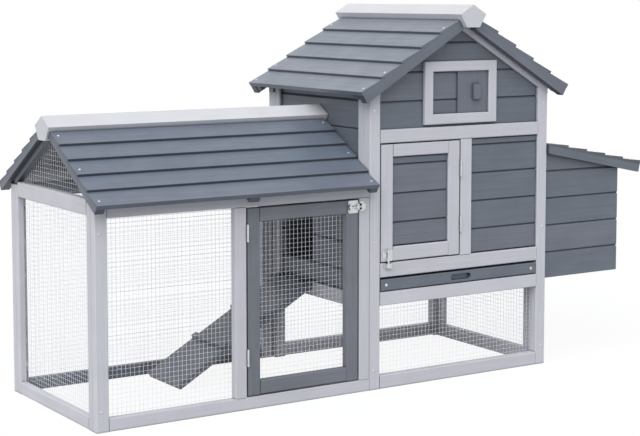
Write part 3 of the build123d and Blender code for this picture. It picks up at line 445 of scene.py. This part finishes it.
def galvanised_wire(name):
    """Drawn steel wire, welded and then dipped in zinc: pale, a little uneven in tone along its length."""
    finishes = bpy.context.scene.coop_finishes
    material, tree = empty_material(name)
    place = node(tree, "ShaderNodeTexCoord")
    drops = node(tree, "ShaderNodeTexNoise",
                 {"Vector": place.outputs["Object"], "Scale": 1 / finishes.drops, "Detail": 2.0})
    colour = node(tree, "ShaderNodeMix",
                  {"Factor": drops.outputs[0], "A": shaded(finishes.wire, 0.88),
                   "B": shaded(finishes.wire, 1.08)}, data_type="RGBA")
    shader = node(tree, "ShaderNodeBsdfPrincipled",
                  {"Base Color": colour.outputs["Result"], "Metallic": 0.9, "Roughness": 0.3})
    node(tree, "ShaderNodeOutputMaterial", {"Surface": shader.outputs[0]})
    return material


def finish(make, *arguments):
    """The material that a finish function makes, made once for each grain direction and set of shares."""
    suffix = "".join(f"_{value:.2f}" for argument in arguments for value in argument)
    name = make.__name__ + suffix.replace("-", "m")
    return bpy.data.materials.get(name) or make(name, *arguments)


def dress(obj, materials):
    """Gives each polygon of an object its material, from a list in polygon order."""
    kinds = sorted(set(materials), key=lambda material: material.name)
    obj.data.materials.clear()
    for material in kinds:
        obj.data.materials.append(material)
    for polygon, material in zip(obj.data.polygons, materials):
        polygon.material_index = kinds.index(material)


# Meshes of the small pieces


class Shape:
    """Corners and faces of a piece while it is being made."""

    def __init__(self):
        self.corners = []
        self.faces = []

    def add(self, corners, faces):
        """Adds corners and the faces between them."""
        first = len(self.corners)
        self.corners += [tuple(corner) for corner in corners]
        self.faces += [[first + index for index in face] for face in faces]

    def add_rings(self, corners, sides):
        """Adds a solid from rings of corners, one after the other, closed at both ends."""
        faces = [list(reversed(range(sides))), list(range(len(corners) - sides, len(corners)))]
        for ring in range(0, len(corners) - sides, sides):
            for step in range(sides):
                after = (step + 1) % sides
                faces.append([ring + step, ring + after, ring + sides + after, ring + sides + step])
        self.add(corners, faces)

    def add_rod(self, points, radius, sides=6):
        """Adds a round rod through the points, mitred at its bends."""
        points = [Vector(point) for point in points]
        runs = [(end - start).normalized() for start, end in zip(points, points[1:])]
        side = runs[0].orthogonal() if len(runs) == 1 else runs[0].cross(runs[1])
        side.normalize()
        corners = []
        for number, point in enumerate(points):
            before = runs[max(number - 1, 0)]
            after = runs[min(number, len(runs) - 1)]
            middle = (before + after).normalized()
            across = middle.cross(side) / middle.dot(after)
            for step in range(sides):
                angle = math.tau * step / sides
                corners.append(point + radius * (math.cos(angle) * side + math.sin(angle) * across))
        self.add_rings(corners, sides)

    def add_stick(self, x, y, z, bevel):
        """Adds an upright stick that fills the ranges x, y and z, with its long edges bevelled."""
        left, right = x
        front, back = y
        outline = [(left + bevel, front), (right - bevel, front),
                   (right, front + bevel), (right, back - bevel),
                   (right - bevel, back), (left + bevel, back),
                   (left, back - bevel), (left, front + bevel)]
        self.add_rings([(*point, height) for height in z for point in outline], len(outline))

    def piece(self, name, material, body, slot):
        """Makes the object, which moves with a body and takes the given finish. The slot is not used."""
        mesh = bpy.data.meshes.new(name)
        mesh.from_pydata(self.corners, [], self.faces)
        mesh.materials.append(material)
        mesh.shade_smooth()
        mesh.set_sharp_from_angle(angle=SHARP_EDGE)
        obj = bpy.data.objects.new(name, mesh)
        bpy.context.scene.collection.objects.link(obj)
        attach(obj, body)
        return obj


def screw_head(radius):
    """Corners and faces of a round screw head with a cross recess, standing on its origin along +Z."""
    sides = 20
    # Reach and rise of the rings, from the foot to the flat top, as shares of the radius
    profile = ((1.0, 0.0), (0.97, 0.2), (0.86, 0.38), (0.7, 0.46))
    # Length, half the width and depth of the recess's arms
    arm = 0.55 * radius
    half = 0.14 * radius
    recess = 0.3 * radius
    mesh = bmesh.new()
    rings = []
    for reach, rise in profile:
        rings.append([mesh.verts.new((radius * reach * math.cos(math.tau * step / sides),
                                      radius * reach * math.sin(math.tau * step / sides), radius * rise))
                      for step in range(sides)])
    for lower, upper in zip(rings, rings[1:]):
        for step in range(sides):
            after = (step + 1) % sides
            mesh.faces.new((lower[step], lower[after], upper[after], upper[step]))
    mesh.faces.new(rings[0])
    top = rings[-1][0].co.z
    quarter = [Vector(point) for point in ((half, half), (half, arm), (-half, arm))]
    turns = [Matrix.Rotation(number * math.pi / 2, 2) for number in range(4)]
    outline = [turn @ point for turn in turns for point in quarter]
    rim = [mesh.verts.new((point.x, point.y, top)) for point in outline]
    pit = [mesh.verts.new((point.x, point.y, top - recess)) for point in outline]
    edges = [mesh.edges.get((rings[-1][step], rings[-1][step - 1])) for step in range(sides)]
    edges += [mesh.edges.new((rim[step], rim[step - 1])) for step in range(len(rim))]
    bmesh.ops.triangle_fill(mesh, edges=edges, use_beauty=True, normal=(0, 0, 1))
    for step in range(len(rim)):
        mesh.faces.new((rim[step - 1], rim[step], pit[step], pit[step - 1]))
    mesh.faces.new(pit)
    bmesh.ops.recalc_face_normals(mesh, faces=mesh.faces)
    mesh.verts.index_update()
    corners = [vertex.co.copy() for vertex in mesh.verts]
    faces = [[vertex.index for vertex in face.verts] for face in mesh.faces]
    mesh.free()
    return corners, faces


def crossings(outline, axis, line):
    """Places along the other axis where a line, square to the axis, crosses a closed outline."""
    places = []
    for start, end in zip(outline, outline[1:] + outline[:1]):
        if (start[axis] - line) * (end[axis] - line) < 0:
            share = (line - start[axis]) / (end[axis] - start[axis])
            places.append(start[1 - axis] + share * (end[1 - axis] - start[1 - axis]))
    return places


# Operators


class COOP_OT_timber(Operator):
    """Stains and paints every timber node, with the grain along each stick"""
    bl_idname = "coop.timber"
    bl_label = "Stain and Paint Timber"

    finishes = {"slate_stain": slate_stained_fir, "pale_paint": pale_painted_fir,
                "ridge_paint": ridge_painted_fir, "bare_fir": bare_fir}
    # Rails along the back of the run are stained like the boards
    stained_rails = "run_rear_frame"
    # Shares of red, green and blue in the stain of most boards, and of the nodes that differ from them
    board_shares = (1.0, 1.0, 1.0)
    # Painted light: the house's roof boards are paler, standing in for the brighter light and sheen on that
    # roof
    house_roof_shares = (1.36, 1.35, 1.35)
    run_roof_shares = (0.97, 1.02, 1.09)
    stain_shares = {
        "house_roof_left_boards": house_roof_shares,
        "house_roof_right_boards": house_roof_shares,
        "run_roof_front_boards": run_roof_shares,
        "run_roof_rear_boards": run_roof_shares,
        # Painted shade: the run roof's battens and rafters, in the shade of the boards, are darker
        "run_roof_battens": (0.88, 0.88, 0.88),
        "run_door_frame": (1.17, 1.12, 1.07),
        "nest_lid_boards": (0.93, 0.92, 0.9),
    }

    def execute(self, context):
        for name, slot in node_slots().items():
            if slot in self.finishes:
                self.coat(name, self.finishes[slot])
        return {"FINISHED"}

    def coat(self, name, make):
        """Coats the sticks of a node, each with its own grain and chance value."""
        obj = frame["nodes"][name]
        draw = random.Random(name)
        materials = [None] * len(obj.data.polygons)
        chances = [0.0] * len(obj.data.polygons)
        for solid in separate_solids(obj.data):
            along = length_direction(corners_of(obj.data, solid))
            if make is slate_stained_fir or (name == self.stained_rails and along.x == 1):
                material = finish(slate_stained_fir, along, self.stain_shares.get(name, self.board_shares))
            else:
                material = finish(make, along)
            chance = draw.random()
            for polygon in solid:
                materials[polygon.index] = material
                chances[polygon.index] = chance
        if name == "window_frame":
            self.turn_corners(obj, materials, make)
        dress(obj, materials)
        obj.data.attributes.new(BOARD, "FLOAT", "FACE").data.foreach_set("value", chances)

    def turn_corners(self, obj, materials, make):
        """Turns the grain upright on the two upright members of the window frame, which is one solid."""
        low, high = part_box("window_frame")
        middle = (low + high) / 2
        for polygon in obj.data.polygons:
            out = polygon.center - middle
            upright = abs(out.x) / (high.x - low.x) > abs(out.z) / (high.z - low.z)
            materials[polygon.index] = finish(make, UPRIGHT if upright else ALONG_X)


class COOP_OT_metal(Operator):
    """Plates the hinges and bolts, blackens the ramp's hinges and galvanises the tray's pan"""
    bl_idname = "coop.metal"
    bl_label = "Finish Metal"

    finishes = {"zinc_sheet": galvanised_sheet, "zinc_hardware": zinc_plated_steel}
    # How far the fixed leaves and pins reach past the ramp's own leaves
    leaf_reach = 20 * MM

    def execute(self, context):
        for name, slot in node_slots().items():
            if slot in self.finishes:
                obj = frame["nodes"][name]
                materials = [finish(self.finishes[slot])] * len(obj.data.polygons)
                for solid in separate_solids(obj.data):
                    if self.at_ramp(corners_of(obj.data, solid)):
                        for polygon in solid:
                            materials[polygon.index] = finish(blackened_steel)
                dress(obj, materials)
        return {"FINISHED"}

    def at_ramp(self, corners):
        """Whether a solid belongs to the ramp's hinges."""
        low, high = (np.array(corner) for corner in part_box("ramp_hinge_leaves"))
        return (corners >= low - self.leaf_reach).all() and (corners <= high + self.leaf_reach).all()


class COOP_OT_stiles(Operator):
    """Stands stiles beside the posts: two between the lower rails on the right, one at the pop hole"""
    bl_idname = "coop.stiles"
    bl_label = "Stand Stiles"

    def execute(self, context):
        sizes = context.scene.coop_stiles
        mesh = frame["nodes"]["house_side_rails"].data
        sticks = [corners_of(mesh, solid) for solid in separate_solids(mesh)]
        on_right = [stick for stick in sticks if stick[:, 0].min() > 0]
        lower, upper = sorted(on_right, key=lambda stick: stick[:, 2].min())[:2]
        low, high = lower.min(axis=0), lower.max(axis=0)
        across = (low[0], high[0])
        front = (low[1], low[1] + sizes.front_wide)
        back = (high[1] - sizes.wide, high[1])
        heights = (high[2] + sizes.gap, upper[:, 2].min() - sizes.gap)
        shape = Shape()
        shape.add_stick(across, front, heights, sizes.bevel)
        shape.add_stick(across, back, heights, sizes.bevel)
        # The stile at the pop hole is as high as the one in front, and as deep as the wall lies back
        on_left = [stick for stick in sticks if stick[:, 0].min() < 0]
        left_stile = next(stick for stick in on_left if length_direction(stick).z == 1)
        across = (left_stile[:, 0].min(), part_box("house_left_boards")[0].x - sizes.gap)
        heights = (left_stile[:, 2].min(), left_stile[:, 2].max())
        shape.add_stick(across, back, heights, sizes.bevel)
        stiles = shape.piece(STILES, finish(pale_painted_fir, UPRIGHT), "coop", "pale_paint")
        stiles.data.shade_flat()
        return {"FINISHED"}


class COOP_OT_nets(Operator):
    """Weaves fine welded wire in place of every coarse net of the frame, and staples it to the timber"""
    bl_idname = "coop.nets"
    bl_label = "Make Wire Nets"

    seed = 7
    # How far a staple may lie off its place, as a share of the step, and how far it may tilt to its edge
    place_chance = 0.2
    tilt_chance = 0.35
    # How far a staple's legs reach past the net, and how far their ends may be from a face of timber
    leg_past = 0.5 * MM
    leg_reach = 1 * MM

    def execute(self, context):
        self.draw = random.Random(self.seed)
        self.timber = self.timber_tree()
        wire = finish(galvanised_wire)
        for name, slot in node_slots().items():
            if slot != "welded_wire":
                continue
            body = node_body(name)
            mesh = frame["nodes"][name].data
            net = Shape()
            staples = Shape()
            for solid in separate_solids(mesh):
                self.weave(context.scene.coop_wire, corners_of(mesh, solid), net, staples)
            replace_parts(net.piece(f"{name}_wires", wire, body, slot), name)
            staples.piece(f"{name}_staples", finish(zinc_plated_steel), body, "zinc_hardware")
        return {"FINISHED"}

    def timber_tree(self):
        """Search tree of the faces of all timber, which carries the staples."""
        slots = node_slots()
        sticks = [frame["nodes"][name] for name in slots if slots[name] in COOP_OT_timber.finishes]
        corners = []
        faces = []
        for obj in (*sticks, bpy.data.objects[STILES]):
            first = len(corners)
            faces += [[first + index for index in polygon.vertices] for polygon in obj.data.polygons]
            corners += [vertex.co.copy() for vertex in obj.data.vertices]
        return BVHTree.FromPolygons(corners, faces)

    def weave(self, sizes, corners, net, staples):
        """Adds the wires and staples of one flat net from the corners of its coarse sheet."""
        low, high = corners.min(axis=0), corners.max(axis=0)
        thin = int(np.argmin(high - low))
        flat = [axis for axis in range(3) if axis != thin]
        middle = (low[thin] + high[thin]) / 2
        inward = -math.copysign(1, middle)
        points = [Vector(corner) for corner in corners[:, flat]]
        hull = [points[index] for index in convex_hull_2d(points)]

        def at(u, v, lift):
            """Place in the frame of a point of the flat net, lifted towards the inside."""
            place = [0, 0, 0]
            place[flat[0]], place[flat[1]], place[thin] = u, v, middle + inward * lift
            return place

        layer = (sizes.thick - sizes.weld) / 2
        for across in (0, 1):
            span = [low[flat[across]], high[flat[across]]]
            count = int((span[1] - span[0] - sizes.thick) / sizes.cell)
            first = (sum(span) - count * sizes.cell) / 2
            for number in range(count + 1):
                line = first + number * sizes.cell
                ends = sorted(crossings(hull, across, line))
                strays = [line + self.draw.uniform(-sizes.stray, sizes.stray) for _ in range(2)]
                rod = []
                for end, stray in zip((ends[0], ends[-1]), strays):
                    u, v = (stray, end) if across == 0 else (end, stray)
                    rod.append(at(u, v, layer if across else -layer))
                net.add_rod(rod, sizes.thick / 2)
        self.staple(sizes, hull, at, layer + sizes.thick / 2, staples)

    def staple(self, sizes, hull, at, height, staples):
        """Adds staples that lie along the edge of a net, where timber lies under both legs."""
        centre = sum(hull, Vector((0, 0))) / len(hull)
        foot = -height - self.leg_past
        crown = height + sizes.staple_thick / 2
        for start, end in zip(hull, hull[1:] + hull[:1]):
            along = (end - start).normalized()
            inside = Vector((-along.y, along.x))
            if inside.dot(centre - start) < 0:
                inside = -inside
            count = int((end - start).length / sizes.staple_step)
            for number in range(count):
                step = number + 0.5 + self.draw.uniform(-self.place_chance, self.place_chance)
                place = start.lerp(end, step / count) + inside * sizes.staple_inset
                tilt = along + inside * self.draw.uniform(-self.tilt_chance, self.tilt_chance)
                half = tilt.normalized() * sizes.staple_wide / 2
                left = place - half
                right = place + half
                path = [at(*left, foot), at(*left, crown), at(*right, crown), at(*right, foot)]
                nearest = [self.timber.find_nearest(leg, self.leg_reach)[0] for leg in (path[0], path[-1])]
                if None not in nearest:
                    staples.add_rod(path, sizes.staple_thick / 2)


class COOP_OT_screws(Operator):
    """Drives the cross-head screws into posts, roofs, tray front and bolt plates"""
    bl_idname = "coop.screws"
    bl_label = "Drive Screws"

    seed = 11
    # Roof boards that take a screw, counted from the ridge, and how far down each board it is
    run_roof_rows = ((0, 0.4), (2, 0.68), (4, 0.66))
    house_roof_rows = ((0, 0.72), (3, 0.7), (4, 0.74))
    lid_rows = ((0, 0.6), (2, 0.6), (4, 0.6))
    roof_boards = 5
    # Slopes of the two roofs, the axis that their boards lie along and the boards that take a screw
    slopes = (
        ("run_roof_front_boards", 0, run_roof_rows),
        ("run_roof_rear_boards", 0, run_roof_rows),
        ("house_roof_left_boards", 1, house_roof_rows),
        ("house_roof_right_boards", 1, house_roof_rows),
    )
    # Heights of the screws on the front of the corner posts
    run_post_heights = (404 * MM, 42 * MM)
    house_post_heights = (626 * MM, 332 * MM, 44 * MM)
    # Size of the screws in the tray's front, against those in the frame
    tray_scale = 1.25

    def execute(self, context):
        sizes = context.scene.coop_screws
        self.draw = random.Random(self.seed)
        self.head = screw_head(sizes.head)
        zinc = finish(zinc_plated_steel)
        body = Shape()
        self.posts(body, sizes)
        for name, run_axis, rows in self.slopes:
            self.roof(body, sizes, name, run_axis, rows)
        body.piece("frame_screws", zinc, "coop", "zinc_hardware")
        lid = Shape()
        self.roof(lid, sizes, "nest_lid_boards", 1, self.lid_rows)
        lid.piece("lid_screws", zinc, "nest_lid", "zinc_hardware")
        tray = Shape()
        low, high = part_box("tray_front")
        for x in (low.x + sizes.tray_inset, high.x - sizes.tray_inset):
            self.drive_front(tray, "tray_front", x, (low.z + high.z) / 2, self.tray_scale)
        tray.piece("tray_screws", zinc, "tray", "zinc_hardware")
        for door in ("run_door", "house_door"):
            plate = Shape()
            low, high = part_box(f"{door}_bolt_plate")
            inset = sizes.plate_inset
            for x in (low.x + inset, high.x - inset):
                for z in (low.z + inset, high.z - inset):
                    self.drive_front(plate, f"{door}_bolt_plate", x, z, sizes.plate_head / sizes.head)
            plate.piece(f"{door}_bolt_screws", zinc, door, "zinc_hardware")
        return {"FINISHED"}

    def drive(self, shape, name, start, direction, scale=1.0):
        """Adds a screw head where a ray meets a node, turned by chance about its axis."""
        place, normal = surface_point(name, start, direction)
        stand = UPRIGHT.rotation_difference(normal).to_matrix()
        turn = stand @ Matrix.Rotation(self.draw.uniform(0, math.pi), 3, "Z")
        corners, faces = self.head
        shape.add([place + turn @ (corner * scale) for corner in corners], faces)

    def drive_front(self, shape, name, x, z, scale=1.0):
        """Adds a screw head on the front of a node."""
        self.drive(shape, name, (x, IN_FRONT, z), (0, 1, 0), scale)

    def posts(self, shape, sizes):
        """Screws on the front of the run's corner stile and the house's front posts."""
        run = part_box("run_front_frame")[0]
        house_low, house_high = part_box("house_posts")
        for height in self.run_post_heights:
            self.drive_front(shape, "run_front_frame", run.x + sizes.post_inset, height)
        for x in (house_low.x + sizes.post_inset, house_high.x - sizes.post_inset):
            for height in self.house_post_heights:
                self.drive_front(shape, "house_posts", x, height)

    def roof(self, shape, sizes, name, run_axis, rows):
        """Screws near both ends of some boards of a slope whose boards lie along an axis."""
        low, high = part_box(name)
        down_axis = 1 - run_axis
        ridge, eave = self.slope_ends(name, low, high, down_axis)
        for end in (low[run_axis] + sizes.roof_inset, high[run_axis] - sizes.roof_inset):
            for number, share in rows:
                start = Vector((0, 0, OVERHEAD))
                start[run_axis] = end
                start[down_axis] = ridge + (eave - ridge) * (number + share) / self.roof_boards
                self.drive(shape, name, start, -UPRIGHT)

    def slope_ends(self, name, low, high, axis):
        """Places of a slope's upper and lower edge along an axis."""
        mesh = frame["nodes"][name].data
        top = max(mesh.vertices, key=lambda vertex: vertex.co.z).co[axis]
        return sorted((low[axis], high[axis]), key=lambda place: abs(place - top))


class COOP_OT_stage(Operator):
    """Sets a plain pale floor, soft light and the camera"""
    bl_idname = "coop.stage"
    bl_label = "Set Stage"

    # Half the width of the floor, in metres
    floor_half = 40.0
    # The floor glows to the eye, and the rest of it is paper, which shows the shadow. The glow makes up
    # what the paper keeps back, so that the floor out of the shadow is just white.
    floor_white = 0.85
    floor_glow = 1.086
    # Way from the coop to the lamp
    lamp_from = Vector((-0.5, -0.46, 0.75))
    # Width of the sensor, in millimetres, that the lens is given for
    sensor = 36

    def execute(self, context):
        settings = context.scene.coop_stage
        context.scene.view_settings.view_transform = "Standard"
        self.lay_floor(context, settings)
        self.light(context, settings)
        self.camera(context, settings)
        return {"FINISHED"}

    def seen(self, tree):
        """A value of 1 on rays from the camera and from glossy or clear surfaces."""
        path = node(tree, "ShaderNodeLightPath")
        value = path.outputs["Is Camera Ray"]
        for kind in ("Is Glossy Ray", "Is Transmission Ray"):
            value = node(tree, "ShaderNodeMath", {0: value, 1: path.outputs[kind]},
                         operation="MAXIMUM").outputs[0]
        return value

    def lay_floor(self, context, settings):
        """Lays the floor, whose shadow stays in view."""
        mesh = bpy.data.meshes.new("floor")
        half = self.floor_half
        corners = [(-half, -half, 0), (half, -half, 0), (half, half, 0), (-half, half, 0)]
        mesh.from_pydata(corners, [], [(0, 1, 2, 3)])
        floor = bpy.data.objects.new("floor", mesh)
        context.scene.collection.objects.link(floor)
        material, tree = empty_material("pale_studio_paper")
        paper = node(tree, "ShaderNodeBsdfDiffuse", {"Color": settings.floor})
        glow = node(tree, "ShaderNodeEmission", {"Color": WHITE, "Strength": self.floor_glow})
        share = node(tree, "ShaderNodeMath", {0: self.seen(tree), 1: self.floor_white}, operation="MULTIPLY")
        mixed = node(tree, "ShaderNodeMixShader",
                     {0: share.outputs[0], 1: paper.outputs[0], 2: glow.outputs[0]})
        node(tree, "ShaderNodeOutputMaterial", {"Surface": mixed.outputs[0]})
        mesh.materials.append(material)

    def light(self, context, settings):
        """Lights the coop softly from all round and with a broad lamp, and shows plain white behind it."""
        world = bpy.data.worlds.new("soft_room")
        world.use_nodes = True
        tree = world.node_tree
        tree.nodes.clear()
        sky = node(tree, "ShaderNodeBackground", {"Color": settings.sky_colour, "Strength": settings.sky})
        white = node(tree, "ShaderNodeBackground", {"Color": WHITE, "Strength": 1.0})
        mixed = node(tree, "ShaderNodeMixShader",
                     {0: self.seen(tree), 1: sky.outputs[0], 2: white.outputs[0]})
        node(tree, "ShaderNodeOutputWorld", {"Surface": mixed.outputs[0]})
        context.scene.world = world
        lamp = bpy.data.lights.new("broad_lamp", "SUN")
        lamp.energy = settings.sun
        lamp.angle = settings.sun_soft
        obj = bpy.data.objects.new("broad_lamp", lamp)
        obj.rotation_euler = self.lamp_from.to_track_quat("Z", "Y").to_euler()
        context.scene.collection.objects.link(obj)

    def camera(self, context, settings):
        """Sets the camera as the photograph was taken."""
        data = bpy.data.cameras.new("photo_camera")
        data.lens = settings.lens
        data.sensor_width = self.sensor
        data.shift_y = settings.drop
        obj = bpy.data.objects.new("photo_camera", data)
        obj.location = settings.eye
        obj.rotation_euler = Euler((math.pi / 2 - settings.pitch, 0, -settings.yaw))
        context.scene.collection.objects.link(obj)
        context.scene.camera = obj


# Panel and registration


class COOP_PT_looks(Panel):
    """Lists the coop's settings and operators"""
    bl_label = "Chicken Coop"
    bl_space_type = "VIEW_3D"
    bl_region_type = "UI"
    bl_category = "Coop"

    def draw(self, context):
        for operator in OPERATORS:
            self.layout.operator(operator.bl_idname)
        for label, group in SETTINGS.items():
            box = self.layout.box()
            box.label(text=group.__doc__)
            for name in group.__annotations__:
                box.prop(getattr(context.scene, label), name)


SETTINGS = {"coop_finishes": CoopFinishes, "coop_stiles": CoopStiles, "coop_wire": CoopWire,
            "coop_screws": CoopScrews, "coop_stage": CoopStage}
OPERATORS = (COOP_OT_timber, COOP_OT_metal, COOP_OT_stiles, COOP_OT_nets, COOP_OT_screws, COOP_OT_stage)


def register():
    """Makes the classes and the settings of the scene known."""
    for group in (*SETTINGS.values(), *OPERATORS, COOP_PT_looks):
        bpy.utils.register_class(group)
    for label, group in SETTINGS.items():
        setattr(bpy.types.Scene, label, PointerProperty(type=group))


def unregister():
    """Takes the settings and the classes away again."""
    for label in SETTINGS:
        delattr(bpy.types.Scene, label)
    for group in reversed((*SETTINGS.values(), *OPERATORS, COOP_PT_looks)):
        bpy.utils.unregister_class(group)


def main():
    """Dresses the coop in order."""
    register()
    bpy.ops.coop.timber()
    bpy.ops.coop.metal()
    bpy.ops.coop.stiles()
    bpy.ops.coop.nets()
    bpy.ops.coop.screws()
    bpy.ops.coop.stage()


if __name__ == "__main__":
    main()
